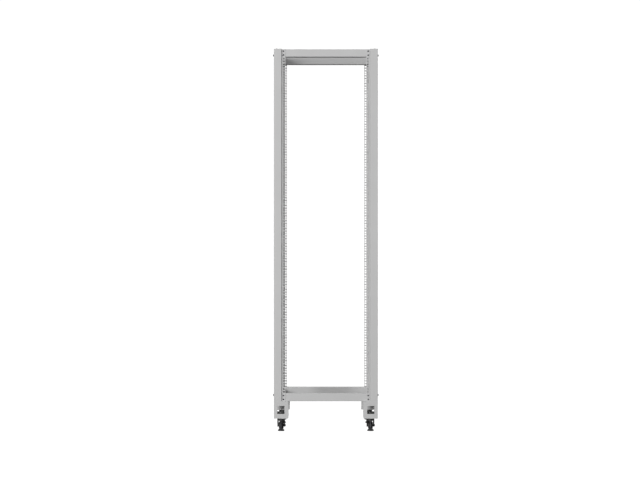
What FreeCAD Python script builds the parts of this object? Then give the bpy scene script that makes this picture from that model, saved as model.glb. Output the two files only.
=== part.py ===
import FreeCAD, Part
import os
import re

import Sketcher

# Open four-post network rack: U-channel posts, nineteen-inch rails with square holes, tube beams,
# and four castors, each on a folded bracket and with a levelling foot through its swivel.
# Frame: +Z up, front towards -Y, origin on the floor under the middle. All sizes are millimetres.

SIZES = [
    ("overall_width", 578, "outer face to outer face of the posts"),
    ("overall_depth", 800, "front face to rear face of the posts"),
    ("frame_bottom", 167, "underside of the frame above the floor, feet down"),
    ("beam_height", 43, "height of every crossbar and side beam"),
    ("unit_count", 42, "rack units in the opening"),
    ("unit_pitch", 44.45, "one rack unit"),
    ("unit_gap", 2.75, "room above and below the rack units"),
    ("sheet", 2, "sheet thickness of posts, rails, beams and caps"),
    ("bend", 0.5, "inside radius of a bend in the sheet"),
    ("tube_bend", 3, "outside radius of the tubes' long edges"),
    ("post_width", 43, "post front face"),
    ("post_depth", 60, "post side wall"),
    ("rail_setback", 10, "rail face behind the post face"),
    ("rail_face", 21, "width of the rail's perforated flange"),
    ("rail_flange", 40, "depth of the rail's side flange"),
    ("hole_side", 9.5, "square rack hole"),
    ("hole_line", 232.55, "rack hole column from the middle"),
    ("hole_low", 6.35, "first hole centre above the unit's lower edge"),
    ("hole_step", 15.875, "spacing inside a unit"),
    ("crossbar_depth", 60, "crossbar section from front to back"),
    ("nest_gap", 0.25, "side beam clearance inside a post"),
    ("beam_setback", 5, "side beam end behind the post face"),
    ("cap_screw_line", 273, "cap screw from the middle"),
    ("cap_screw_inset", 28, "cap screw behind the post face"),
    ("cap_screw_head", 2.8, "height of the cap screw's head"),
    ("joint_screw_line", 236, "rail to crossbar screws from the middle"),
    ("joint_screw_low", 10, "lower screw above the crossbar's underside"),
    ("joint_screw_high", 32, "upper screw above the crossbar's underside"),
    ("pan_head", 2.5, "height of a pan head"),
    ("side_bolt_inset", 9, "side bolt from the beam's edge beside the opening"),
    ("side_bolt_front", 20, "first side bolt behind the post face"),
    ("side_bolt_step", 26, "second side bolt behind the first"),
    ("side_bolt_head", 4.5, "height of a side bolt's head"),
    ("rail_screw_inset", 25, "rail to post screws behind the rail face"),
    ("rail_screw_head", 2.2, "height of a rail screw's head"),
    ("bracket_width", 81, "castor bracket across the rack"),
    ("bracket_depth", 80, "castor bracket from front to back"),
    ("bracket_sheet", 3, "castor bracket thickness"),
    ("bracket_drop", 96, "outer plate below the frame"),
    ("base_drop", 87, "underside of the bracket's base below the frame"),
    ("bracket_corner", 5, "rounded lower corner of the outer plate"),
    ("window_left", 230, "window edge from the middle"),
    ("window_width", 40, "window width"),
    ("window_low", 97, "window sill above the floor"),
    ("window_height", 44.5, "window height in the outer plate"),
    ("inner_window_height", 22.5, "window height in the inner plate"),
    ("bracket_bolt_inner", 222, "bracket bolts into the crossbar, from the middle"),
    ("bracket_bolt_outer", 267.5, "bracket bolts into the side beam, from the middle"),
    ("bracket_bolt_front", 25, "front bracket bolts behind the post face"),
    ("bracket_bolt_step", 30, "rear bracket bolts behind the front ones"),
    ("bolt_radius", 3, "shank of the bolts"),
    ("bolt_head_radius", 5.5, "head of the bolts"),
    ("bolt_head", 4, "height of a bolt head"),
    ("screw_radius", 2.5, "shank of the small screws"),
    ("screw_head_radius", 4.5, "head of the small screws"),
    ("castor_line", 249, "swivel axis from the middle"),
    ("castor_inset", 40, "swivel axis behind the post face"),
    ("mount_side", 60, "castor mounting plate"),
    ("mount_sheet", 3, "mounting plate thickness"),
    ("castor_screw_reach", 23, "mounting screws from the swivel axis"),
    ("kingpin_radius", 9, "hollow kingpin outside"),
    ("kingpin_bore", 6.5, "hollow kingpin inside"),
    ("kingpin_low", 50, "lower end of the kingpin"),
    ("ring_radius", 11.5, "retaining ring under the fork"),
    ("ring_low", 56, "underside of the retaining ring"),
    ("ring_height", 1.4, "retaining ring thickness"),
    ("running_gap", 0.08, "radial clearance of turning fits"),
    ("face_gap", 0.6, "clearance between turning faces"),
    ("head_radius", 21.5, "fork head and the fork's half width"),
    ("head_low", 58, "underside of the fork head"),
    ("arm_sheet", 7.5, "fork arm thickness"),
    ("arm_front", 9, "fork arm's front edge ahead of the swivel axis"),
    ("arm_back", 18, "top of the arm's rear edge behind the swivel axis"),
    ("arm_top", 68, "top of the fork arms"),
    ("arm_shoulder", 57, "lower front corner of the fork arms"),
    ("boss_radius", 8.5, "round end of a fork arm"),
    ("trail", 38, "axle behind the swivel axis"),
    ("axle_height", 30, "axle above the floor, feet down"),
    ("axle_radius", 4, "axle shank"),
    ("axle_nut_radius", 6.5, "domed nut on the axle"),
    ("axle_nut", 4, "domed nut outside the fork"),
    ("wheel_radius", 19, "wheel at the treads"),
    ("wheel_half", 13.4, "half width of the wheel pair"),
    ("tread_half", 11.7, "outer edge of a tread from the middle"),
    ("groove_half", 1.5, "half of the gap between the treads"),
    ("groove_radius", 13, "bottom of the gap between the treads"),
    ("shoulder_radius", 12, "edge of the wheel's flat side"),
    ("tread_round", 1.5, "rounding step at the tread edges"),
    ("side_dome", 0.5, "bulge of the wheel's side between flat and tread"),
    ("spindle_radius", 6, "levelling spindle"),
    ("spindle_low", 6, "lower end of the spindle in the foot"),
    ("spindle_high", 108, "upper end of the spindle, feet down"),
    ("dial_radius", 23, "levelling dial"),
    ("dial_low", 95, "underside of the dial's rim"),
    ("dial_high", 108.5, "top of the dial"),
    ("dial_hub_radius", 15, "hub under the dial"),
    ("dial_lift", 0.3, "hub above the bracket base"),
    ("grip_radius", 2.5, "finger grip cut in the dial's rim"),
    ("grip_line", 24, "finger grip centres from the axis"),
    ("grip_count", 12, "finger grips round the dial"),
    ("foot_radius", 18.5, "foot pad"),
    ("foot_rim", 6.5, "height of the pad's rim"),
    ("foot_neck_low", 14, "top of the pad's cone"),
    ("foot_neck_radius", 10, "neck of the pad"),
    ("foot_high", 17, "top of the pad's neck"),
]
RAIL_SCREW_ROWS = 5
ALIASES = {alias for alias, _, _ in SIZES}

# Derived positions, as formulas of the sheet. The front right corner is the one that is drawn.
OPENING = "(unit_count * unit_pitch + 2 * unit_gap)"
LOWER_TOP = "(frame_bottom + beam_height)"
UPPER_LOW = f"({LOWER_TOP} + {OPENING})"
FRAME_TOP = f"({UPPER_LOW} + beam_height)"
OUTSIDE = "(overall_width / 2)"
POST_IN = f"({OUTSIDE} - post_width)"
RAIL_EDGE = f"({POST_IN} - rail_face)"
CROSSBAR_END = f"({POST_IN} - sheet)"
FRONT = "(-overall_depth / 2)"
RAIL_FRONT = f"({FRONT} + rail_setback)"
CROSSBAR_FRONT = f"({RAIL_FRONT} + sheet)"
CROSSBAR_BACK = f"({CROSSBAR_FRONT} + crossbar_depth)"
BEAM_IN = f"({POST_IN} + sheet + nest_gap)"
BEAM_OUT = f"({OUTSIDE} - sheet - nest_gap)"
BEAM_FRONT = f"({FRONT} + beam_setback)"
BASE_LOW = "(frame_bottom - base_drop)"
BASE_TOP = f"({BASE_LOW} + bracket_sheet)"
BRACKET_IN = f"({OUTSIDE} - bracket_width)"
BRACKET_BACK = f"({FRONT} + bracket_depth)"
CASTOR_Y = f"({FRONT} + castor_inset)"
MOUNT_LOW = f"({BASE_LOW} - mount_sheet)"
ARM_IN = "(head_radius - arm_sheet)"

NEAR = 0.01  # two places closer than this are the same
ACROSS = FreeCAD.Vector(1, 0, 0)
ALONG = FreeCAD.Vector(0, 1, 0)
TURN = {
    "x": FreeCAD.Rotation(FreeCAD.Vector(0, 1, 0), 90),
    "y": FreeCAD.Rotation(FreeCAD.Vector(1, 0, 0), -90),
    "z": FreeCAD.Rotation(),
}

doc = FreeCAD.newDocument("OpenRack")
sheet = doc.addObject("Spreadsheet::Sheet", "Sizes")
subparts = []


def fill_sheet():
    for row, (alias, number, meaning) in enumerate(SIZES, start=1):
        sheet.set(f"A{row}", str(number))
        sheet.setAlias(f"A{row}", alias)
        sheet.set(f"B{row}", meaning)
    doc.recompute()


def formula(text):
    """The formula with every alias pointed at the sheet."""
    return re.sub(r"[a-z_]+", lambda word: "Sizes." * (word.group() in ALIASES) + word.group(), text)


def bind(item, prop, text):
    item.setExpression(prop, formula(text))


def value(text):
    return float(sheet.evalExpression(formula(text)))


def place(item, at, turn="z"):
    item.Placement = FreeCAD.Placement(FreeCAD.Vector(), TURN[turn])
    for axis, text in zip("xyz", at):
        bind(item, f"Placement.Base.{axis}", text)


def edges_where(shape, wanted):
    """Numbers of the shape's edges whose bounding box passes the test."""
    return [index for index, edge in enumerate(shape.Edges, start=1) if wanted(edge.BoundBox)]


# ---- Part primitives and booleans ----

def box(name, low, high):
    item = doc.addObject("Part::Box", name)
    for prop, start, end in zip(("Length", "Width", "Height"), low, high):
        bind(item, prop, f"{end} - {start}")
    place(item, low)
    return item


def rounded_box(name, low, high, axis, radius):
    """A box whose four edges along one axis (0 for X, 1 for Y) are rounded."""
    sharp = box(f"{name}_sharp", low, high)
    doc.recompute()
    length = value(f"{high[axis]} - {low[axis]}")
    long_edges = edges_where(sharp.Shape, lambda bounds: (bounds.XLength, bounds.YLength)[axis] > length / 2
                             and bounds.DiagonalLength < length + 1)
    item = doc.addObject("Part::Fillet", name)
    item.Base = sharp
    item.Edges = [(index, value(radius), value(radius)) for index in long_edges]
    return item


def rod(name, start, axis, radius, length):
    item = doc.addObject("Part::Cylinder", name)
    bind(item, "Radius", radius)
    bind(item, "Height", length)
    place(item, start, axis)
    return item


def fuse(name, shapes):
    item = doc.addObject("Part::MultiFuse", name)
    item.Shapes = shapes
    return item


def cut(name, base, tools):
    item = doc.addObject("Part::Cut", name)
    item.Base = base
    item.Tool = tools[0] if len(tools) == 1 else fuse(f"{name}_tools", tools)
    return item


def mirror(source, name, normal):
    item = doc.addObject("Part::Mirroring", name)
    item.Source = source
    item.Normal = normal
    return item


def at_four_corners(family, source):
    """The drawn front right piece and its three mirror images, each a sub-part."""
    source.Label = f"{family}_front_right"
    left = mirror(source, f"{family}_front_left", ACROSS)
    subparts.extend([source, left])
    subparts.append(mirror(source, f"{family}_rear_right", ALONG))
    subparts.append(mirror(left, f"{family}_rear_left", ALONG))


def fastener_group(label, pieces):
    """Identical fasteners of the front right corner, copied to all four corners as one sub-part."""
    right = doc.addObject("Part::Compound", f"{label}_right")
    right.Links = pieces
    left = mirror(right, f"{label}_left", ACROSS)
    front = doc.addObject("Part::Compound", f"{label}_front")
    front.Links = [right, left]
    group = doc.addObject("Part::Compound", label)
    group.Links = [front, mirror(front, f"{label}_rear", ALONG)]
    subparts.append(group)


# ---- PartDesign bodies ----

def new_body(name, at=("0", "0", "0")):
    body = doc.addObject("PartDesign::Body", name)
    place(body, at)
    return body


def new_sketch(body, role, height="0"):
    """An empty sketch on one of the body's origin planes, raised by height along the plane's normal."""
    plane = next(item for item in body.Origin.OriginFeatures if item.Role == role)
    sketch = body.newObject("Sketcher::SketchObject", f"{body.Name}_sketch")
    sketch.AttachmentSupport = (plane, [""])
    sketch.MapMode = "FlatFace"
    bind(sketch, "AttachmentOffset.Base.z", height)
    return sketch


def pin_point(sketch, edge, end, across, up):
    """Bind one end of an edge to two formulas, counted from the sketch's origin."""
    for kind, text in (("DistanceX", across), ("DistanceY", up)):
        row = sketch.addConstraint(Sketcher.Constraint(kind, -1, 1, edge, end, value(text)))
        bind(sketch, f"Constraints[{row}]", text)


def draw_outline(sketch, corners):
    """A closed outline of straight edges. Every corner is a pair of formulas."""
    points = [FreeCAD.Vector(value(across), value(up), 0) for across, up in corners]
    first = sketch.GeometryCount
    for here, there in zip(points, points[1:] + points[:1]):
        sketch.addGeometry(Part.LineSegment(here, there))
    for index in range(len(points)):
        following = (index + 1) % len(points)
        sketch.addConstraint(Sketcher.Constraint("Coincident", first + index, 2, first + following, 1))
        pin_point(sketch, first + index, 1, *corners[index])


def draw_circle(sketch, across, up, radius):
    centre = FreeCAD.Vector(value(across), value(up), 0)
    edge = sketch.addGeometry(Part.Circle(centre, FreeCAD.Vector(0, 0, 1), value(radius)))
    pin_point(sketch, edge, 3, across, up)
    row = sketch.addConstraint(Sketcher.Constraint("Radius", edge, value(radius)))
    bind(sketch, f"Constraints[{row}]", radius)


def rectangle(left, low, right, high):
    return [(left, low), (right, low), (right, high), (left, high)]


def pad(body, sketch, length):
    feature = body.newObject("PartDesign::Pad", f"{body.Name}_pad")
    feature.Profile = sketch
    bind(feature, "Length", length)
    return feature


def pocket(body, sketch, length):
    """A pocket against the sketch's normal, which must take material away."""
    doc.recompute()
    before = body.Shape.Volume
    feature = body.newObject("PartDesign::Pocket", f"{body.Name}_pocket")
    feature.Profile = sketch
    bind(feature, "Length", length)
    doc.recompute()
    if body.Shape.Volume >= before:
        raise RuntimeError(f"{feature.Name} cuts nothing")
    return feature


def round_bends(body, radius, places):
    """Round the upright edges of a body that stand at these (x, y) places."""
    doc.recompute()
    base = body.Tip
    spots = [(value(across), value(along)) for across, along in places]

    def upright(bounds):
        return bounds.ZLength > max(bounds.XLength, bounds.YLength) and any(
            abs(bounds.XMin - x) + abs(bounds.YMin - y) < NEAR for x, y in spots)

    bends = body.newObject("PartDesign::Fillet", f"{body.Name}_bends")
    bends.Base = (base, [f"Edge{index}" for index in edges_where(base.Shape, upright)])
    bind(bends, "Radius", radius)


def revolve(body, sketch, axis):
    feature = body.newObject("PartDesign::Revolution", f"{body.Name}_revolution")
    feature.Profile = sketch
    feature.ReferenceAxis = (sketch, [axis])
    feature.Angle = 360
    return feature


# ---- frame ----

def make_posts():
    """U-channel open towards the middle of the rack, with holes for the side bolts."""
    body = new_body("post")
    back = f"({FRONT} + post_depth)"
    section = new_sketch(body, "XY_Plane", "frame_bottom")
    draw_outline(section, [
        (POST_IN, FRONT), (OUTSIDE, FRONT), (OUTSIDE, back), (f"{OUTSIDE} - sheet", back),
        (f"{OUTSIDE} - sheet", f"{FRONT} + sheet"), (f"{POST_IN} + sheet", f"{FRONT} + sheet"),
        (f"{POST_IN} + sheet", back), (POST_IN, back)])
    pad(body, section, f"{FRAME_TOP} - frame_bottom")
    round_bends(body, "bend + sheet", [(POST_IN, FRONT), (OUTSIDE, FRONT)])
    round_bends(body, "bend", [(f"{POST_IN} + sheet", f"{FRONT} + sheet"),
                               (f"{OUTSIDE} - sheet", f"{FRONT} + sheet")])
    side_holes = new_sketch(body, "YZ_Plane", OUTSIDE)
    for along, height in side_bolt_places():
        draw_circle(side_holes, along, height, "bolt_radius")
    pocket(body, side_holes, "sheet")
    rail_holes = new_sketch(body, "YZ_Plane", f"{POST_IN} + sheet")
    for height in rail_screw_heights():
        draw_circle(rail_holes, f"{RAIL_FRONT} + rail_screw_inset", height, "screw_radius")
    pocket(body, rail_holes, "sheet")
    at_four_corners("post", body)


def side_bolt_rows():
    first = f"({FRONT} + side_bolt_front)"
    return [first, f"{first} + side_bolt_step"]


def side_bolt_height(level):
    return f"{LOWER_TOP} - side_bolt_inset" if level == "bottom" else f"{UPPER_LOW} + side_bolt_inset"


def side_bolt_places():
    """Along-the-rack and height formulas of the side bolts of one corner."""
    return [(along, side_bolt_height(level)) for along in side_bolt_rows() for level in ("bottom", "top")]


def rail_screw_heights():
    return [f"{LOWER_TOP} + {OPENING} * {row + 0.5} / {RAIL_SCREW_ROWS}" for row in range(RAIL_SCREW_ROWS)]


def joint_screw_heights():
    """Heights of the rail to crossbar screws: two in each crossbar."""
    return [f"{low} + {step}" for low in ("frame_bottom", UPPER_LOW)
            for step in ("joint_screw_low", "joint_screw_high")]


def make_rails():
    """L-section rail: a perforated front flange and a side flange against the post."""
    body = new_body("rail")
    back = f"({RAIL_FRONT} + rail_flange)"
    section = new_sketch(body, "XY_Plane", "frame_bottom")
    draw_outline(section, [
        (RAIL_EDGE, RAIL_FRONT), (POST_IN, RAIL_FRONT), (POST_IN, back), (CROSSBAR_END, back),
        (CROSSBAR_END, CROSSBAR_FRONT), (RAIL_EDGE, CROSSBAR_FRONT)])
    pad(body, section, f"{FRAME_TOP} - frame_bottom")
    round_bends(body, "bend + sheet", [(POST_IN, RAIL_FRONT)])
    round_bends(body, "bend", [(CROSSBAR_END, CROSSBAR_FRONT)])
    screw_holes = new_sketch(body, "YZ_Plane", POST_IN)
    for height in rail_screw_heights():
        draw_circle(screw_holes, f"{RAIL_FRONT} + rail_screw_inset", height, "screw_radius")
    pocket(body, screw_holes, "sheet")
    joint_holes = new_sketch(body, "XZ_Plane", f"-{RAIL_FRONT}")
    for height in joint_screw_heights():
        draw_circle(joint_holes, "joint_screw_line", height, "screw_radius")
    pocket(body, joint_holes, "sheet")

    unit_holes = new_sketch(body, "XZ_Plane", f"-{RAIL_FRONT}")
    for row in range(3):
        centre = f"({LOWER_TOP} + unit_gap + hole_low + {row} * hole_step)"
        draw_outline(unit_holes, rectangle("hole_line - hole_side / 2", f"{centre} - hole_side / 2",
                                           "hole_line + hole_side / 2", f"{centre} + hole_side / 2"))
    first_unit = pocket(body, unit_holes, "sheet")
    pattern = body.newObject("PartDesign::LinearPattern", "rail_units")
    pattern.Originals = [first_unit]
    pattern.Direction = (unit_holes, ["V_Axis"])
    bind(pattern, "Length", "(unit_count - 1) * unit_pitch")
    bind(pattern, "Occurrences", "unit_count")
    body.Tip = pattern
    at_four_corners("rail", body)


def tube(name, low, high, open_axis):
    """A rectangular tube of the frame's sheet, open at both ends along one axis (0 for X, 1 for Y)."""
    inner_low = [text if axis == open_axis else f"({text} + sheet)" for axis, text in enumerate(low)]
    inner_high = [text if axis == open_axis else f"({text} - sheet)" for axis, text in enumerate(high)]
    outside = rounded_box(f"{name}_outside", low, high, open_axis, "tube_bend")
    inside = rounded_box(f"{name}_inside", inner_low, inner_high, open_axis, "tube_bend - sheet")
    return cut(name, outside, [inside])


def make_crossbars():
    """Front crossbars between the rails, and their mirror images at the rear."""
    for level, low in (("bottom", "frame_bottom"), ("top", UPPER_LOW)):
        name = f"crossbar_{level}"
        holes = [
            rod(f"{name}_hole", (f"{side} * joint_screw_line", CROSSBAR_FRONT, f"{low} + {step}"), "y",
                "screw_radius", "sheet")
            for side in (-1, 1) for step in ("joint_screw_low", "joint_screw_high")]
        if level == "bottom":
            holes += [
                rod(f"{name}_bolt_hole", (f"{side} * bracket_bolt_inner", along, low), "z",
                    "bolt_radius", "sheet")
                for side in (-1, 1) for along in bracket_bolt_rows()]
        blank = tube(f"{name}_tube", (f"-{CROSSBAR_END}", CROSSBAR_FRONT, low),
                     (CROSSBAR_END, CROSSBAR_BACK, f"({low} + beam_height)"), 0)
        front = cut(f"{name}_front", blank, holes)
        subparts.extend([front, mirror(front, f"{name}_rear", ALONG)])


def bracket_bolt_rows():
    first = f"({FRONT} + bracket_bolt_front)"
    return [first, f"{first} + bracket_bolt_step"]


def make_side_beams():
    """Right beams nested in the front and rear posts, and their mirror images on the left."""
    for level, low in (("bottom", "frame_bottom"), ("top", UPPER_LOW)):
        name = f"side_beam_{level}"
        holes = []
        for end in ("", "-"):
            holes += [
                rod(f"{name}_hole", (f"{BEAM_OUT} - sheet", f"{end}({along})", side_bolt_height(level)), "x",
                    "bolt_radius", "sheet")
                for along in side_bolt_rows()]
            if level == "bottom":
                holes += [
                    rod(f"{name}_bolt_hole", ("bracket_bolt_outer", f"{end}({along})", low), "z",
                        "bolt_radius", "sheet")
                    for along in bracket_bolt_rows()]
            else:
                holes.append(rod(f"{name}_cap_hole",
                                 ("cap_screw_line", f"{end}({FRONT} + cap_screw_inset)",
                                  f"{FRAME_TOP} - sheet"), "z", "screw_radius", "sheet"))
        blank = tube(f"{name}_tube", (BEAM_IN, BEAM_FRONT, low),
                     (BEAM_OUT, f"(-{BEAM_FRONT})", f"({low} + beam_height)"), 1)
        right = cut(f"{name}_right", blank, holes)
        subparts.extend([right, mirror(right, f"{name}_left", ACROSS)])


def make_post_caps():
    """Plates that close the tops of the posts."""
    plate = box("post_cap_plate", (POST_IN, FRONT, FRAME_TOP),
                (OUTSIDE, f"({FRONT} + post_depth)", f"({FRAME_TOP} + sheet)"))
    hole = rod("post_cap_hole", ("cap_screw_line", f"{FRONT} + cap_screw_inset", FRAME_TOP), "z",
               "screw_radius", "sheet")
    at_four_corners("post_cap", cut("post_cap", plate, [hole]))


def make_castor_brackets():
    """Folded bracket under a corner: outer and inner plates with windows, a top flange and a base.

    The outer plate hangs below the base at the front, and ends at the base at the rear.
    """
    body = new_body("castor_bracket")
    outer_low = "(frame_bottom - bracket_drop)"
    profile = new_sketch(body, "YZ_Plane", BRACKET_IN)
    draw_outline(profile, [
        (FRONT, outer_low), (f"{FRONT} + bracket_sheet", outer_low),
        (f"{FRONT} + bracket_sheet", BASE_LOW), (BRACKET_BACK, BASE_LOW),
        (BRACKET_BACK, "frame_bottom"), (FRONT, "frame_bottom")])
    draw_outline(profile, rectangle(f"{FRONT} + bracket_sheet", BASE_TOP,
                                    f"{BRACKET_BACK} - bracket_sheet", "frame_bottom - bracket_sheet"))
    pad(body, profile, "bracket_width")

    for height, depth in (("window_height", "bracket_sheet"), ("inner_window_height", "bracket_depth")):
        window = new_sketch(body, "XZ_Plane", f"-{FRONT}")
        draw_outline(window, rectangle("window_left", "window_low", "window_left + window_width",
                                       f"window_low + {height}"))
        pocket(body, window, depth)

    base_holes = new_sketch(body, "XY_Plane", BASE_TOP)
    draw_circle(base_holes, "castor_line", CASTOR_Y, "kingpin_radius")
    for across, along in castor_screw_places():
        draw_circle(base_holes, across, along, "bolt_radius")
    pocket(body, base_holes, "bracket_sheet")

    top_holes = new_sketch(body, "XY_Plane", "frame_bottom")
    for across in ("bracket_bolt_inner", "bracket_bolt_outer"):
        for along in bracket_bolt_rows():
            draw_circle(top_holes, across, along, "bolt_radius")
    bracket = pocket(body, top_holes, "bracket_sheet")

    inner_corner = edges_where(bracket.Shape, lambda bounds: bounds.ZMax < value(outer_low) + NEAR
                               and bounds.XMax < value(BRACKET_IN) + NEAR)
    corner = body.newObject("PartDesign::Fillet", "castor_bracket_corner")
    corner.Base = (bracket, [f"Edge{index}" for index in inner_corner])
    bind(corner, "Radius", "bracket_corner")
    body.Tip = corner

    body.Label = "castor_bracket_front_right"
    lip = box("castor_bracket_lip", (BRACKET_IN, f"(-{FRONT} - bracket_sheet)", outer_low),
              (OUTSIDE, f"(-{FRONT})", BASE_LOW))
    rear = cut("castor_bracket_rear_right", mirror(body, "castor_bracket_turned", ALONG), [lip])
    subparts.extend([body, mirror(body, "castor_bracket_front_left", ACROSS),
                     rear, mirror(rear, "castor_bracket_rear_left", ACROSS)])


def castor_screw_places():
    return [(f"castor_line + {side} * castor_screw_reach", f"{CASTOR_Y} + {end} * castor_screw_reach")
            for side in (-1, 1) for end in (-1, 1)]


# ---- castors ----

def make_castor_mounts():
    """Mounting plate with its hollow kingpin and retaining ring."""
    centre = ("castor_line", CASTOR_Y)
    half = "mount_side / 2"
    plate = box("mount_plate", (f"(castor_line - {half})", f"({CASTOR_Y} - {half})", MOUNT_LOW),
                (f"(castor_line + {half})", f"({CASTOR_Y} + {half})", BASE_LOW))
    kingpin = rod("mount_kingpin", (*centre, "kingpin_low"), "z", "kingpin_radius",
                  f"{MOUNT_LOW} - kingpin_low")
    ring = rod("mount_ring", (*centre, "ring_low"), "z", "ring_radius", "ring_height")
    bore = rod("mount_bore", (*centre, "kingpin_low"), "z", "kingpin_bore", f"{BASE_LOW} - kingpin_low")
    screw_holes = [rod("mount_hole", (across, along, MOUNT_LOW), "z", "bolt_radius", "mount_sheet")
                   for across, along in castor_screw_places()]
    at_four_corners("castor_mount", cut("castor_mount", fuse("mount_blank", [plate, kingpin, ring]),
                                        [bore] + screw_holes))


def make_castor_forks():
    """Swivelling fork: a round head on the kingpin and two arms that trail behind it to the axle."""
    body = new_body("castor_fork", ("castor_line", CASTOR_Y, "0"))
    head_top = f"({MOUNT_LOW} - face_gap)"
    head = new_sketch(body, "XY_Plane", "head_low")
    draw_circle(head, "0", "0", "head_radius")
    pad(body, head, f"{head_top} - head_low")
    for inner in (ARM_IN, "-head_radius"):
        arm = new_sketch(body, "YZ_Plane", inner)
        draw_arm(arm)
        pad(body, arm, "arm_sheet")
    bore = new_sketch(body, "XY_Plane", head_top)
    draw_circle(bore, "0", "0", "kingpin_radius + running_gap")
    pocket(body, bore, f"{head_top} - head_low")
    axle_bore = new_sketch(body, "YZ_Plane", "head_radius")
    draw_circle(axle_bore, "trail", "axle_height", "axle_radius + running_gap")
    pocket(body, axle_bore, "2 * head_radius")
    at_four_corners("castor_fork", body)


def draw_arm(sketch):
    """Side view of a fork arm: straight edges, and half a circle round the axle."""
    corners = [("trail + boss_radius", "axle_height"), ("arm_back", "arm_top"), ("-arm_front", "arm_top"),
               ("-arm_front", "arm_shoulder"), ("trail - boss_radius", "axle_height")]
    points = [FreeCAD.Vector(value(across), value(up), 0) for across, up in corners]
    for here, there in zip(points, points[1:]):
        sketch.addGeometry(Part.LineSegment(here, there))
    lowest = FreeCAD.Vector(value("trail"), value("axle_height - boss_radius"), 0)
    arc = sketch.addGeometry(Part.Arc(points[-1], lowest, points[0]))
    for index in range(len(points) - 1):
        pin_point(sketch, index, 1, *corners[index])
        if index:
            sketch.addConstraint(Sketcher.Constraint("Coincident", index - 1, 2, index, 1))
    pin_point(sketch, len(points) - 2, 2, *corners[-1])
    sketch.addConstraint(Sketcher.Constraint("Coincident", arc, 1, len(points) - 2, 2))
    sketch.addConstraint(Sketcher.Constraint("Coincident", arc, 2, 0, 1))
    row = sketch.addConstraint(Sketcher.Constraint("DistanceY", -1, 1, arc, 3, value("axle_height")))
    bind(sketch, f"Constraints[{row}]", "axle_height")


def make_castor_wheels():
    """A pair of domed wheels on one hub, turned about the axle."""
    body = new_body("castor_wheel", ("castor_line", f"{CASTOR_Y} + trail", "axle_height"))
    bore = "axle_radius + running_gap"
    half_profile = [("wheel_half", bore), ("wheel_half", "shoulder_radius"),
                    ("(wheel_half + tread_half) / 2 + side_dome", "(shoulder_radius + wheel_radius) / 2"),
                    ("tread_half", "wheel_radius - tread_round"),
                    ("tread_half - tread_round", "wheel_radius"),
                    ("groove_half + tread_round", "wheel_radius"),
                    ("groove_half", "wheel_radius - tread_round"), ("groove_half", "groove_radius")]
    other_half = [(f"-({across})", up) for across, up in reversed(half_profile)]
    section = new_sketch(body, "XZ_Plane")
    draw_outline(section, half_profile + other_half)
    revolve(body, section, "H_Axis")
    at_four_corners("castor_wheel", body)


def make_castor_axles():
    """Axle with a domed nut at one end. The rear castors are turned half round."""
    for end, row, side in (("front", "", 1), ("rear", "-", -1)):
        along = f"{row}({CASTOR_Y} + trail)"
        for flank, centre in (("right", "castor_line"), ("left", "-castor_line")):
            name = f"castor_axle_{end}_{flank}"
            shank = rod(f"{name}_shank", (f"{centre} - head_radius", along, "axle_height"), "x",
                        "axle_radius", "2 * head_radius")
            start = f"{centre} + head_radius" if side > 0 else f"{centre} - head_radius - axle_nut"
            nut = rod(f"{name}_nut", (start, along, "axle_height"), "x", "axle_nut_radius", "axle_nut")
            subparts.append(fuse(name, [shank, nut]))


def make_levelling_dials():
    """Captive nut with a grip rim, turned by hand through the bracket's window."""
    body = new_body("levelling_dial", ("castor_line", CASTOR_Y, "0"))
    hub_low = f"({BASE_TOP} + dial_lift)"
    hub = new_sketch(body, "XY_Plane", hub_low)
    draw_circle(hub, "0", "0", "dial_hub_radius")
    pad(body, hub, f"dial_low - {hub_low}")
    rim = new_sketch(body, "XY_Plane", "dial_low")
    draw_circle(rim, "0", "0", "dial_radius")
    pad(body, rim, "dial_high - dial_low")
    bore = new_sketch(body, "XY_Plane", "dial_high")
    draw_circle(bore, "0", "0", "spindle_radius + running_gap")
    pocket(body, bore, f"dial_high - {hub_low}")
    grip = new_sketch(body, "XY_Plane", "dial_high")
    draw_circle(grip, "grip_line", "0", "grip_radius")
    first_grip = pocket(body, grip, "dial_high - dial_low")
    pattern = body.newObject("PartDesign::PolarPattern", "dial_grips")
    pattern.Originals = [first_grip]
    pattern.Axis = (grip, ["N_Axis"])
    pattern.Angle = 360
    bind(pattern, "Occurrences", "grip_count")
    body.Tip = pattern
    at_four_corners("levelling_dial", body)


def make_levelling_spindles():
    at_four_corners("levelling_spindle", rod("levelling_spindle", ("castor_line", CASTOR_Y, "spindle_low"),
                                             "z", "spindle_radius", "spindle_high - spindle_low"))


def make_levelling_feet():
    """Turned foot: a flat rim, a cone and a neck that holds the spindle."""
    body = new_body("levelling_foot", ("castor_line", CASTOR_Y, "0"))
    section = new_sketch(body, "XZ_Plane")
    draw_outline(section, [
        ("0", "0"), ("foot_radius", "0"), ("foot_radius", "foot_rim"), ("foot_neck_radius", "foot_neck_low"),
        ("foot_neck_radius", "foot_high"), ("spindle_radius", "foot_high"),
        ("spindle_radius", "spindle_low"), ("0", "spindle_low")])
    revolve(body, section, "V_Axis")
    at_four_corners("levelling_foot", body)


# ---- fasteners ----

def bolt(name, head_start, shank_start, axis, radii, lengths):
    """A head and a shank, each a rod from its own start along the axis."""
    return fuse(name, [rod(f"{name}_head", head_start, axis, radii[0], lengths[0]),
                       rod(f"{name}_shank", shank_start, axis, radii[1], lengths[1])])


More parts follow.
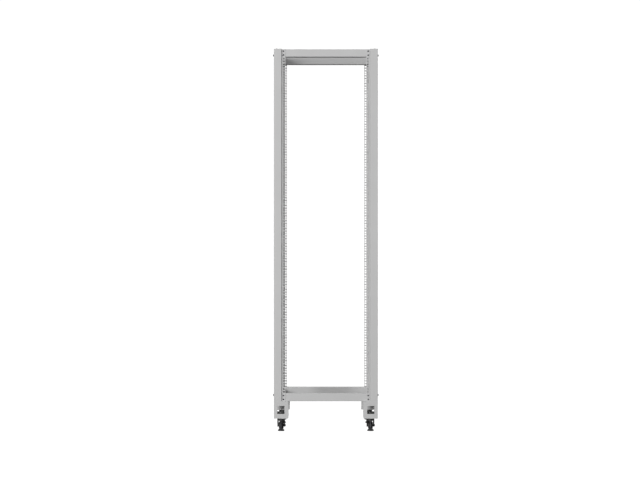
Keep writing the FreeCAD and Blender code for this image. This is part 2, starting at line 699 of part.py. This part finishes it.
def make_fasteners():
    bolt_radii = ("bolt_head_radius", "bolt_radius")
    screw_radii = ("screw_head_radius", "screw_radius")
    fastener_group("crossbar_screws", [
        bolt("crossbar_screw", ("joint_screw_line", f"{RAIL_FRONT} - pan_head", height),
             ("joint_screw_line", RAIL_FRONT, height), "y", screw_radii, ("pan_head", "2 * sheet"))
        for height in joint_screw_heights()])
    fastener_group("side_bolts", [
        bolt("side_bolt", (OUTSIDE, along, height), (f"{BEAM_OUT} - sheet", along, height), "x",
             ("screw_head_radius", "bolt_radius"), ("side_bolt_head", "2 * sheet + nest_gap"))
        for along, height in side_bolt_places()])
    rail_screw_y = f"{RAIL_FRONT} + rail_screw_inset"
    fastener_group("rail_screws", [
        bolt("rail_screw", (f"{CROSSBAR_END} - rail_screw_head", rail_screw_y, height),
             (CROSSBAR_END, rail_screw_y, height), "x", screw_radii, ("rail_screw_head", "2 * sheet"))
        for height in rail_screw_heights()])
    cap_screw_y = f"{FRONT} + cap_screw_inset"
    fastener_group("cap_screws", [
        bolt("cap_screw", ("cap_screw_line", cap_screw_y, f"{FRAME_TOP} + sheet"),
             ("cap_screw_line", cap_screw_y, f"{FRAME_TOP} - sheet"), "z", screw_radii,
             ("cap_screw_head", "2 * sheet"))])
    fastener_group("bracket_bolts", [
        bolt("bracket_bolt", (across, along, "frame_bottom - bracket_sheet - bolt_head"),
             (across, along, "frame_bottom - bracket_sheet"), "z", bolt_radii,
             ("bolt_head", "bracket_sheet + sheet"))
        for across in ("bracket_bolt_inner", "bracket_bolt_outer") for along in bracket_bolt_rows()])
    fastener_group("castor_screws", [
        bolt("castor_screw", (across, along, BASE_TOP), (across, along, MOUNT_LOW), "z", bolt_radii,
             ("bolt_head", "bracket_sheet + mount_sheet"))
        for across, along in castor_screw_places()])


def check_and_export():
    """Stop on any failed feature or bad shape, then write one file per sub-part."""
    doc.recompute()
    failed = [item.Label for item in doc.Objects if {"Invalid", "Error"} & set(item.State)]
    failed += [item.Label for item in subparts if item.Shape.isNull() or not item.Shape.isValid()]
    if failed:
        raise RuntimeError(f"not built: {failed}")
    os.makedirs("parts", exist_ok=True)
    for item in subparts:
        item.Shape.exportStep(f"parts/{item.Label}.step")
        print(f"{item.Label}: {len(item.Shape.Solids)} solids, {item.Shape.Volume:.0f} mm3")


fill_sheet()
make_posts()
make_rails()
make_crossbars()
make_side_beams()
make_post_caps()
make_castor_brackets()
make_castor_mounts()
make_castor_forks()
make_castor_wheels()
make_castor_axles()
make_levelling_dials()
make_levelling_spindles()
make_levelling_feet()
make_fasteners()
check_and_export()
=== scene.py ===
"""Looks of the open four-post rack: materials, detailed fasteners and castors, studio and camera."""

import math
from functools import partial

import bmesh
import bpy
from mathutils import Matrix, Vector


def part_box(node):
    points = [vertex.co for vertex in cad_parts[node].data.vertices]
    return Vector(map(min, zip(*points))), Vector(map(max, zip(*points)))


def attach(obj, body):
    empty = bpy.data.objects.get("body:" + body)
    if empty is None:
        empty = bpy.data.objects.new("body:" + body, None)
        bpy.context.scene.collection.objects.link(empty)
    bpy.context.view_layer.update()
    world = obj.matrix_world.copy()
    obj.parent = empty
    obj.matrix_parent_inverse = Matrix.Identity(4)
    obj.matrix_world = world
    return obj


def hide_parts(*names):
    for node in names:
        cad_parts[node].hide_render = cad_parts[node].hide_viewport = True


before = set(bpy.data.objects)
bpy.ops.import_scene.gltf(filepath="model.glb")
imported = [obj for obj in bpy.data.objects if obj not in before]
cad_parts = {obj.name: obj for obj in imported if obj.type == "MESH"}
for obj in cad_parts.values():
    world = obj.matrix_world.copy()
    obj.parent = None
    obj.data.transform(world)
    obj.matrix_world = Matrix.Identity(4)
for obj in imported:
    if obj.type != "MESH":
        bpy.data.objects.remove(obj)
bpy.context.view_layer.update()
MM = 0.001
CORNERS = ("front_right", "front_left", "rear_right", "rear_left")
SHEET_FAMILIES = ("post_", "rail_front", "rail_rear", "crossbar_top", "crossbar_bottom", "side_beam_",
                  "castor_bracket_")
BEND_CREASE = 35    # degrees between faces, above which an edge stays sharp
FACET_CREASE = 28   # the same for pieces with hexagons


# ---- materials ----

def grey(level):
    return (level, level, level)


def new_material(name):
    material = bpy.data.materials.new(name)
    material.use_nodes = True
    tree = material.node_tree
    return material, tree, tree.nodes["Principled BSDF"]


def add_noise(tree, scale, detail=4.0, roughness=0.5):
    """Solid noise in object space, which is the rack's own frame."""
    place = tree.nodes.new("ShaderNodeTexCoord")
    noise = tree.nodes.new("ShaderNodeTexNoise")
    noise.inputs["Scale"].default_value = scale
    noise.inputs["Detail"].default_value = detail
    noise.inputs["Roughness"].default_value = roughness
    tree.links.new(place.outputs["Object"], noise.inputs["Vector"])
    return noise.outputs["Fac"]


def add_range(tree, factor, low, high, start=0, end=1):
    """Map a factor that runs from start to end onto low to high."""
    ramp = tree.nodes.new("ShaderNodeMapRange")
    ramp.inputs["From Min"].default_value = start
    ramp.inputs["From Max"].default_value = end
    ramp.inputs["To Min"].default_value = low
    ramp.inputs["To Max"].default_value = high
    tree.links.new(factor, ramp.inputs["Value"])
    return ramp.outputs["Result"]


def add_tint(tree, factor, dark, light):
    """A colour between dark and light greys or tints."""
    mix = tree.nodes.new("ShaderNodeMix")
    mix.data_type = "RGBA"
    mix.inputs["A"].default_value = (*dark, 1)
    mix.inputs["B"].default_value = (*light, 1)
    tree.links.new(factor, mix.inputs["Factor"])
    return mix.outputs["Result"]


def add_bump(tree, shader, height, strength, distance, below=None):
    """Raise the surface by a height factor, on top of another bump where one is given."""
    bump = tree.nodes.new("ShaderNodeBump")
    bump.inputs["Strength"].default_value = strength
    bump.inputs["Distance"].default_value = distance
    tree.links.new(height, bump.inputs["Height"])
    if below:
        tree.links.new(below, bump.inputs["Normal"])
    tree.links.new(bump.outputs["Normal"], shader.inputs["Normal"])
    return bump.outputs["Normal"]


def powder_coat():
    """Light grey powder coat: fine orange peel, a cloudy change of tone and a fine grain in its gloss."""
    material, tree, shader = new_material("powder_coat")
    cloud = add_noise(tree, scale=9, detail=3)
    grain = add_noise(tree, scale=900, detail=2)
    peel = add_noise(tree, scale=260, detail=2)
    tree.links.new(add_tint(tree, cloud, dark=grey(0.535), light=grey(0.575)), shader.inputs["Base Color"])
    tree.links.new(add_range(tree, grain, low=0.5, high=0.62), shader.inputs["Roughness"])
    shader.inputs["Specular IOR Level"].default_value = 0.3
    soft = add_bump(tree, shader, peel, strength=0.25, distance=0.4 * MM)
    add_bump(tree, shader, grain, strength=0.15, distance=0.1 * MM, below=soft)
    return material


def steel_finish(name, dark, light, roughness):
    """Plated or blackened steel with fine blotches in its colour and gloss."""
    material, tree, shader = new_material(name)
    shader.inputs["Metallic"].default_value = 1.0
    blotch = add_noise(tree, scale=420, detail=5, roughness=0.65)
    tree.links.new(add_tint(tree, blotch, dark, light), shader.inputs["Base Color"])
    tree.links.new(add_range(tree, blotch, roughness - 0.08, roughness + 0.1), shader.inputs["Roughness"])
    add_bump(tree, shader, blotch, strength=0.12, distance=0.1 * MM)
    return material


def black_coat():
    """Black coated steel of the castors, slightly dusty on its broad faces."""
    material, tree, shader = new_material("black_coat")
    grain = add_noise(tree, scale=1500, detail=2)
    dust = add_noise(tree, scale=60, detail=6, roughness=0.7)
    tree.links.new(add_tint(tree, dust, dark=grey(0.036), light=grey(0.066)), shader.inputs["Base Color"])
    tree.links.new(add_range(tree, grain, low=0.34, high=0.5), shader.inputs["Roughness"])
    add_bump(tree, shader, grain, strength=0.2, distance=0.1 * MM)
    return material


def moulded(name, dark, light, roughness, grain_scale):
    """Moulded nylon or rubber with a fine eroded grain."""
    material, tree, shader = new_material(name)
    grain = add_noise(tree, scale=grain_scale, detail=3, roughness=0.6)
    scuff = add_noise(tree, scale=90, detail=6, roughness=0.7)
    tree.links.new(add_tint(tree, scuff, dark, light), shader.inputs["Base Color"])
    tree.links.new(add_range(tree, scuff, roughness - 0.07, roughness + 0.08), shader.inputs["Roughness"])
    add_bump(tree, shader, grain, strength=0.3, distance=0.12 * MM)
    return material


POWDER = powder_coat()
ZINC = steel_finish("zinc_plate", dark=(0.42, 0.43, 0.45), light=(0.62, 0.63, 0.64), roughness=0.34)
OXIDE = steel_finish("black_oxide", dark=(0.06, 0.06, 0.065), light=(0.13, 0.13, 0.14), roughness=0.4)
COAT = black_coat()
NYLON = moulded("black_nylon", dark=grey(0.024), light=grey(0.042), roughness=0.42, grain_scale=1300)
TREAD = moulded("tread_rubber", dark=grey(0.03), light=grey(0.05), roughness=0.62, grain_scale=800)
SOLE = moulded("sole_rubber", dark=grey(0.026), light=grey(0.044), roughness=0.7, grain_scale=700)


# ---- mesh building ----

def finish_mesh(bm, name, materials, body, node, crease=BEND_CREASE):
    """Turn a bmesh into a piece that rides on a body and stands for its CAD node."""
    bmesh.ops.recalc_face_normals(bm, faces=bm.faces)
    mesh = bpy.data.meshes.new(name)
    bm.to_mesh(mesh)
    bm.free()
    for material in materials:
        mesh.materials.append(material)
    mesh.shade_smooth()
    mesh.set_sharp_from_angle(angle=math.radians(crease))
    piece = bpy.data.objects.new(name, mesh)
    bpy.context.scene.collection.objects.link(piece)
    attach(piece, body)
    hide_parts(node)


def facing(axis, origin):
    """A frame whose Z points along the axis and whose origin is the given point."""
    return Matrix.Translation(origin) @ Vector(axis).to_track_quat("Z", "Y").to_matrix().to_4x4()


def turn(bm, profile, place, segments=32, outline=None, material_of=None):
    """Revolve (radius, height) points about local Z.

    A profile that starts on the axis also ends there, and any other profile closes on itself
    round a bore. outline(radius, height, angle) may return another radius, for hexagons and grips.
    """
    rings = []
    for radius, height in profile:
        if radius == 0:
            rings.append([bm.verts.new(place @ Vector((0, 0, height)))])
            continue
        ring = []
        for step in range(segments):
            angle = 2 * math.pi * step / segments
            reach = outline(radius, height, angle) if outline else radius
            point = Vector((reach * math.cos(angle), reach * math.sin(angle), height))
            ring.append(bm.verts.new(place @ point))
        rings.append(ring)
    if profile[0][0] > 0:
        rings.append(rings[0])
    for row, (here, there) in enumerate(zip(rings, rings[1:])):
        for step in range(segments):
            following = (step + 1) % segments
            corners = [here[step % len(here)], here[following % len(here)],
                       there[following % len(there)], there[step % len(there)]]
            face = bm.faces.new(dict.fromkeys(corners))
            if material_of:
                face.material_index = material_of(row)


def hexagon(angle, flats):
    """Distance from the centre to a hexagon's edge in this direction, for its width across flats."""
    sixth = math.pi / 3
    return flats / 2 / math.cos((angle + sixth / 2) % sixth - sixth / 2)


def islands(node):
    """The box of each separate solid of a CAD node, as (lowest corner, highest corner)."""
    bm = bmesh.new()
    bm.from_mesh(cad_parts[node].data)
    bmesh.ops.remove_doubles(bm, verts=bm.verts, dist=1e-6)
    boxes = []
    waiting = set(bm.verts)
    while waiting:
        reached = [waiting.pop()]
        for vert in reached:
            for edge in vert.link_edges:
                other = edge.other_vert(vert)
                if other in waiting:
                    waiting.remove(other)
                    reached.append(other)
        boxes.append(tuple(Vector([pick(vert.co[axis] for vert in reached) for axis in range(3)])
                           for pick in (min, max)))
    bm.free()
    return sorted(boxes, key=lambda ends: tuple(ends[0]))


# ---- fasteners ----

def shank(radius, length):
    """Outline of a shank from the middle of its chamfered tip up to local Z = 0."""
    chamfer = 0.2 * radius
    return [(0, -length), (radius - chamfer, -length), (radius, chamfer - length), (radius, 0.0)]


def socket_screw(bm, place, head_radius, head_height, length, shank_radius, domed):
    """Round head with a hexagon socket, its underside at local Z = 0 and its shank below."""
    flats = 0.7 * head_radius
    mouth = 0.62 * flats
    wall_top, wall_foot = 0.985 * mouth, 0.98 * mouth
    mouth_chamfer = 0.15 * MM
    socket_floor = 0.45 * head_height
    rim = (0.45 if domed else 0.9) * head_height
    flat_top = (0.56 if domed else 0.93) * head_radius
    head = [(head_radius, 0.0), (head_radius, rim)]
    if domed:
        for step in (1, 2, 3):
            angle = step * math.pi / 8
            head.append((flat_top + 0.42 * head_radius * math.cos(angle),
                         rim + (head_height - rim) * math.sin(angle)))
    head += [(flat_top, head_height), (mouth, head_height), (wall_top, head_height - mouth_chamfer),
             (wall_foot, socket_floor), (0, socket_floor)]

    def outline(radius, height, angle):
        return hexagon(angle, flats) if radius in (wall_top, wall_foot) else radius

    turn(bm, shank(shank_radius, length) + head, place, segments=24, outline=outline)


def hex_bolt(bm, place, head_radius, head_height, length, shank_radius):
    """Hexagon head with a chamfered crown and a washer face, its underside at local Z = 0."""
    flats = head_radius * math.sqrt(3)
    washer_radius = flats / 2
    washer_height = 0.12 * head_height
    crown_radius = 0.96 * washer_radius
    chamfer_from = 0.86 * head_height
    head = [(washer_radius, 0.0), (washer_radius, washer_height), (head_radius, washer_height),
            (head_radius, chamfer_from), (crown_radius, head_height), (0, head_height)]

    def outline(radius, height, angle):
        return hexagon(angle, flats) if radius == head_radius else radius

    turn(bm, shank(shank_radius, length) + head, place, segments=24, outline=outline)


def fasteners(node, finish, head_direction, head_height, build):
    """Rebuild every fastener of a node in place. head_direction(centre) points from shank to head."""
    bm = bmesh.new()
    for low, high in islands(node):
        centre = (low + high) / 2
        axis = Vector(head_direction(centre))
        along = max(range(3), key=lambda index: abs(axis[index]))
        size = high - low
        total = size[along]
        tip = centre + axis * total / 2
        head_radius = size[(along + 1) % 3] / 2
        build(bm, facing(axis, tip - axis * head_height), head_radius, head_height, total - head_height)
    material, slot = finish
    finish_mesh(bm, f"{node}_detail", [material], "frame", node, crease=FACET_CREASE)


def sign(number):
    return math.copysign(1, number)


def make_fasteners():
    """Every screw and bolt of the frame. Each head points out of the face that it is driven into."""
    small, large = 2.5 * MM, 3 * MM
    button = partial(socket_screw, shank_radius=small, domed=True)
    cap = partial(socket_screw, shank_radius=large, domed=False)
    hexed = partial(hex_bolt, shank_radius=large)
    black, zinc = (OXIDE, "black_fasteners"), (ZINC, "zinc_fasteners")
    fasteners("crossbar_screws", black, lambda centre: (0, sign(centre.y), 0), 2.5 * MM, button)
    fasteners("cap_screws", black, lambda centre: (0, 0, 1), 2.8 * MM, button)
    fasteners("side_bolts", black, lambda centre: (sign(centre.x), 0, 0), 4.5 * MM, cap)
    fasteners("rail_screws", zinc, lambda centre: (-sign(centre.x), 0, 0), 2.2 * MM, button)
    fasteners("bracket_bolts", zinc, lambda centre: (0, 0, -1), 4 * MM, hexed)
    fasteners("castor_screws", zinc, lambda centre: (0, 0, 1), 4 * MM, hexed)


# ---- castors and levelling feet ----

# (radius, distance from the wheel's middle) in millimetres, from the bore over one dome to the gap.
WHEEL_SIDE = ((4.1, 13.4), (6.2, 13.4), (6.8, 12.9), (7.1, 12.0), (9.9, 12.0), (10.3, 12.9), (10.9, 13.3),
              (12.0, 13.4), (13.6, 13.3), (15.2, 13.1), (16.5, 12.8), (17.3, 12.4), (17.6, 11.9))
WHEEL_TREAD = ((18.0, 11.7), (18.6, 11.2), (19.0, 10.2), (19.0, 3.0), (18.7, 2.0), (18.0, 1.5))
WHEEL_GAP = ((13.0, 1.5),)
# (radius, height above the floor) in millimetres.
FOOT_SOLE = ((0, 0), (16.6, 0), (17.0, 0.3), (17.0, 2.2), (17.6, 2.4), (0, 2.4))
FOOT_BODY = ((0, 2.4), (17.8, 2.4), (18.4, 2.9), (18.5, 3.8), (18.5, 5.6), (18.1, 6.6), (16.6, 7.9),
             (14.4, 9.8), (12.7, 11.6), (11.8, 12.9), (11.4, 14.0), (0, 14.0))
FOOT_NUT = ((6.0, 14.0), (8.6, 14.0), (10.0, 14.5), (10.0, 16.4), (8.6, 17.0), (6.4, 17.0), (6.0, 16.6))
# (radius, height above the dial's underside) in millimetres.
DIAL = ((6.1, 0), (13.6, 0), (14.6, 0.6), (15.0, 1.6), (15.0, 10.6), (15.6, 11.4), (20.6, 11.7), (22.4, 12.2),
        (23.0, 13.4), (23.0, 23.4), (22.4, 24.6), (21.0, 25.2), (19.0, 25.2), (18.2, 24.8), (17.8, 23.6),
        (10.4, 23.6), (10.0, 24.8), (9.2, 25.2), (6.6, 25.2), (6.1, 24.8))
GRIPS = 12


def ends(node):
    """Lowest and highest corner of a CAD node."""
    return [Vector(point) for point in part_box(node)]


def middle(node):
    low, high = ends(node)
    return (low + high) / 2


def underside(node):
    """An upright frame at the middle of a CAD node's lowest face."""
    centre = middle(node)
    return Matrix.Translation((centre.x, centre.y, ends(node)[0].z))


def in_metres(profile):
    return [(radius * MM, height * MM) for radius, height in profile]


def widest(profile):
    return max(radius for radius, _ in profile)


def make_wheel(corner):
    """Twin domed wheel with a hub boss in each side and a pair of treads."""
    node = f"castor_wheel_{corner}"
    half = WHEEL_SIDE + WHEEL_TREAD + WHEEL_GAP
    other = [(radius, -across) for radius, across in reversed(half)]
    tread_rows = range(len(WHEEL_SIDE) - 1, len(WHEEL_SIDE) + len(WHEEL_TREAD) - 1)
    last_row = 2 * len(half) - 2

    def tread_or_hub(row):
        return int(row in tread_rows or last_row - row in tread_rows)

    bm = bmesh.new()
    turn(bm, in_metres([*half, *other]), facing((1, 0, 0), middle(node)), segments=64,
         material_of=tread_or_hub)
    finish_mesh(bm, f"{node}_detail", [NYLON, TREAD], f"wheel_{corner}", node)


def make_axle(corner):
    """Axle bolt with a domed nut at one end and a low round head, sunk flush, at the other."""
    node = f"castor_axle_{corner}"
    low, high = ends(node)
    centre = middle(node)
    nut_side = sign(centre.x - middle(f"castor_fork_{corner}").x)
    length = high.x - low.x
    corner_radius = (high.z - low.z) / 2
    flats = corner_radius * math.sqrt(3)
    shank_radius, shank_chamfer = 4 * MM, 0.4 * MM
    dimple_radius, dimple_edge, dimple_depth = 2.2 * MM, 2.5 * MM, 0.35 * MM
    nut_from = length - 4 * MM
    nut_chamfer = 0.3 * MM
    facets_to = length - 2.1 * MM
    dome_height = 1.7 * MM
    dome_radius = flats / 2 * 0.88
    profile = [(0, dimple_depth), (dimple_radius, dimple_depth), (dimple_edge, 0),
               (shank_radius - shank_chamfer, 0), (shank_radius, shank_chamfer), (shank_radius, nut_from),
               (flats / 2, nut_from), (corner_radius, nut_from + nut_chamfer), (corner_radius, facets_to),
               (flats / 2 * 0.97, length - dome_height)]
    for step in range(6):
        angle = step * math.pi / 12
        profile.append((dome_radius * math.cos(angle), length - dome_height * (1 - math.sin(angle))))
    profile.append((0, length))
    start = Vector((low.x if nut_side > 0 else high.x, centre.y, centre.z))

    def outline(radius, height, angle):
        return hexagon(angle, flats) if radius == corner_radius else radius

    bm = bmesh.new()
    turn(bm, profile, facing((nut_side, 0, 0), start), segments=36, outline=outline)
    finish_mesh(bm, f"{node}_detail", [OXIDE], f"fork_{corner}", node, crease=FACET_CREASE)


def make_dial(corner):
    """Hand dial with scalloped grips round its rim and a sunk top."""
    node = f"levelling_dial_{corner}"
    profile = in_metres(DIAL)
    rim_radius = widest(profile)
    grip_from = 18.5 * MM
    grip_depth = 1.5 * MM

    def scalloped(radius, height, angle):
        if radius < grip_from:
            return radius
        notch = max(0.0, math.cos(GRIPS * angle)) ** 3
        return radius - grip_depth * notch * (radius - grip_from) / (rim_radius - grip_from)

    bm = bmesh.new()
    turn(bm, profile, underside(node), segments=GRIPS * 12, outline=scalloped)
    finish_mesh(bm, f"{node}_detail", [NYLON], f"dial_{corner}", node)


def make_foot(corner):
    """Rubber sole, flared nylon pad and the hexagon lock nut on its neck."""
    node = f"levelling_foot_{corner}"
    base = underside(node)
    body = f"foot_{corner}"
    sole = bmesh.new()
    turn(sole, in_metres(FOOT_SOLE), base, segments=48)
    finish_mesh(sole, f"{node}_sole", [SOLE], body, node)
    pad = bmesh.new()
    turn(pad, in_metres(FOOT_BODY), base, segments=48)
    finish_mesh(pad, f"{node}_pad", [NYLON], body, node)
    nut_profile = in_metres(FOOT_NUT)
    corner_radius = widest(nut_profile)

    def outline(radius, height, angle):
        return hexagon(angle, corner_radius * math.sqrt(3)) if radius == corner_radius else radius

    nut = bmesh.new()
    turn(nut, nut_profile, base, segments=36, outline=outline)
    finish_mesh(nut, f"{node}_nut", [OXIDE], body, node, crease=FACET_CREASE)


def make_spindle(corner):
    """Trapezoidal screw, cut flat at both ends."""
    node = f"levelling_spindle_{corner}"
    low, high = ends(node)
    centre = middle(node)
    crest = (high.x - low.x) / 2
    pitch = 3 * MM
    root = crest - pitch / 2
    groove_to, ridge_from, ridge_to = 0.32 * pitch, 0.42 * pitch, 0.9 * pitch
    ridge = ((root, 0.0), (root, groove_to), (crest, ridge_from), (crest, ridge_to))
    segments = 24
    turns = math.ceil((high.z - low.z) / pitch) + 2
    bm = bmesh.new()
    steps = []
    for step in range(turns * segments + 1):
        angle = 2 * math.pi * step / segments
        lift = low.z - pitch + pitch * step / segments
        steps.append([bm.verts.new((centre.x + radius * math.cos(angle), centre.y + radius * math.sin(angle),
                                    lift + rise)) for radius, rise in ridge])
    for step, (here, there) in enumerate(zip(steps, steps[1:])):
        for index in range(len(ridge) - 1):
            bm.faces.new((here[index], there[index], there[index + 1], here[index + 1]))
        if step + 1 + segments < len(steps):
            bm.faces.new((here[-1], there[-1], steps[step + 1 + segments][0], steps[step + segments][0]))
    for end, outward in ((low.z, -1), (high.z, 1)):
        cut = bmesh.ops.bisect_plane(bm, geom=[*bm.verts, *bm.edges, *bm.faces], plane_co=(0, 0, end),
                                     plane_no=(0, 0, outward), clear_outer=True)
        rim = [edge for edge in cut["geom_cut"] if isinstance(edge, bmesh.types.BMEdge)]
        bmesh.ops.contextual_create(bm, geom=rim)
    finish_mesh(bm, f"{node}_detail", [OXIDE], f"foot_{corner}", node)


# ---- frame ----

def add_weld(piece):
    """Join the separate faces of an imported mesh."""
    weld = piece.modifiers.new("weld", "WELD")
    weld.merge_threshold = 0.01 * MM


def add_flat_normals(piece):
    """Smooth shading in which the larger faces stay flat."""
    piece.data.shade_smooth()
    normals = piece.modifiers.new("normals", "WEIGHTED_NORMAL")
    normals.mode = "FACE_AREA"
    normals.weight = 100


def smooth_bends(node):
    """Shade the bends of folded sheet smooth, and keep its cut edges sharp."""
    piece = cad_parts[node]
    add_weld(piece)
    split = piece.modifiers.new("split", "EDGE_SPLIT")
    split.split_angle = math.radians(BEND_CREASE)
    add_flat_normals(piece)


def round_edges(node, width):
    """Round the sharp edges of a solid piece."""
    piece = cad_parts[node]
    add_weld(piece)
    bevel = piece.modifiers.new("bevel", "BEVEL")
    bevel.width = width
    bevel.segments = 2
    bevel.limit_method = "ANGLE"
    bevel.angle_limit = math.radians(30)
    add_flat_normals(piece)


def paint(node, material):
    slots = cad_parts[node].data.materials
    slots.clear()
    slots.append(material)


def dress_frame():
    """Finish the CAD pieces that stay: powder-coated sheet, and the black castor forks and mounts."""
    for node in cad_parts:
        if node.startswith(SHEET_FAMILIES):
            paint(node, POWDER)
            smooth_bends(node)
        elif node.startswith(("castor_fork", "castor_mount")):
            paint(node, COAT)
            round_edges(node, 0.5 * MM)


# ---- studio ----

def make_floor():
    """Pale floor, bright enough to run into the white background."""
    mesh = bpy.data.meshes.new("floor")
    reach = 60
    corners = [(-reach, -reach, 0), (reach, -reach, 0), (reach, reach, 0), (-reach, reach, 0)]
    mesh.from_pydata(corners, [], [(0, 1, 2, 3)])
    floor = bpy.data.objects.new("floor", mesh)
    bpy.context.scene.collection.objects.link(floor)
    material, _, shader = new_material("floor_white")
    shader.inputs["Base Color"].default_value = (0.25, 0.25, 0.25, 1)
    shader.inputs["Roughness"].default_value = 0.9
    shader.inputs["Specular IOR Level"].default_value = 0.0
    shader.inputs["Emission Color"].default_value = (1, 1, 1, 1)
    shader.inputs["Emission Strength"].default_value = 0.92
    mesh.materials.append(material)
    floor.visible_diffuse = False
    floor.visible_glossy = False


def add_background(tree, strength):
    """A white background shader."""
    background = tree.nodes.new("ShaderNodeBackground")
    background.inputs["Color"].default_value = (1, 1, 1, 1)
    background.inputs["Strength"].default_value = strength
    return background


def make_world():
    """White surroundings that light the rack from above and the sides, and hardly from below."""
    world = bpy.data.worlds.new("studio")
    world.use_nodes = True
    bpy.context.scene.world = world
    tree = world.node_tree
    tree.nodes.clear()
    output = tree.nodes.new("ShaderNodeOutputWorld")
    place = tree.nodes.new("ShaderNodeTexCoord")
    split = tree.nodes.new("ShaderNodeSeparateXYZ")
    tree.links.new(place.outputs["Generated"], split.inputs["Vector"])
    fill_strength = add_range(tree, split.outputs["Z"], low=0.03, high=0.62, start=-0.25, end=0.25)
    fill = add_background(tree, strength=1)
    tree.links.new(fill_strength, fill.inputs["Strength"])
    seen = add_background(tree, strength=1.05)
    path = tree.nodes.new("ShaderNodeLightPath")
    mix = tree.nodes.new("ShaderNodeMixShader")
    tree.links.new(path.outputs["Is Camera Ray"], mix.inputs["Fac"])
    tree.links.new(fill.outputs["Background"], mix.inputs[1])
    tree.links.new(seen.outputs["Background"], mix.inputs[2])
    tree.links.new(mix.outputs["Shader"], output.inputs["Surface"])


def make_lights():
    """One large soft box in front of the rack, to the left and a little above its top."""
    data = bpy.data.lights.new("key", "AREA")
    data.shape = "SQUARE"
    data.size = 2.5
    data.energy = 550
    azimuth, distance, height = math.radians(24), 9.5, 2.7
    aim_height = 1.0
    lamp = bpy.data.objects.new("key", data)
    lamp.location = (-distance * math.sin(azimuth), -distance * math.cos(azimuth), height)
    ray = Vector((0, 0, aim_height)) - lamp.location
    lamp.rotation_euler = ray.to_track_quat("-Z", "Y").to_euler()
    lamp.visible_camera = False
    bpy.context.scene.collection.objects.link(lamp)


def make_camera():
    """Level long-lens view along +Y, a little left of the rack's middle and at half its height."""
    aside, distance, height = -0.0325, 16.751, 1.067
    dip = 0.0107    # degrees below the level
    data = bpy.data.cameras.new("camera")
    data.lens = 165.45
    data.clip_end = 200
    camera = bpy.data.objects.new("camera", data)
    camera.location = (aside, -distance, height)
    camera.rotation_euler = (math.radians(90 - dip), 0, 0)
    bpy.context.scene.collection.objects.link(camera)
    bpy.context.scene.camera = camera


bpy.context.scene.view_settings.view_transform = "Standard"
make_camera()
make_world()
make_lights()
make_floor()
dress_frame()
make_fasteners()
for corner in CORNERS:
    make_wheel(corner)
    make_axle(corner)
    make_dial(corner)
    make_foot(corner)
    make_spindle(corner)
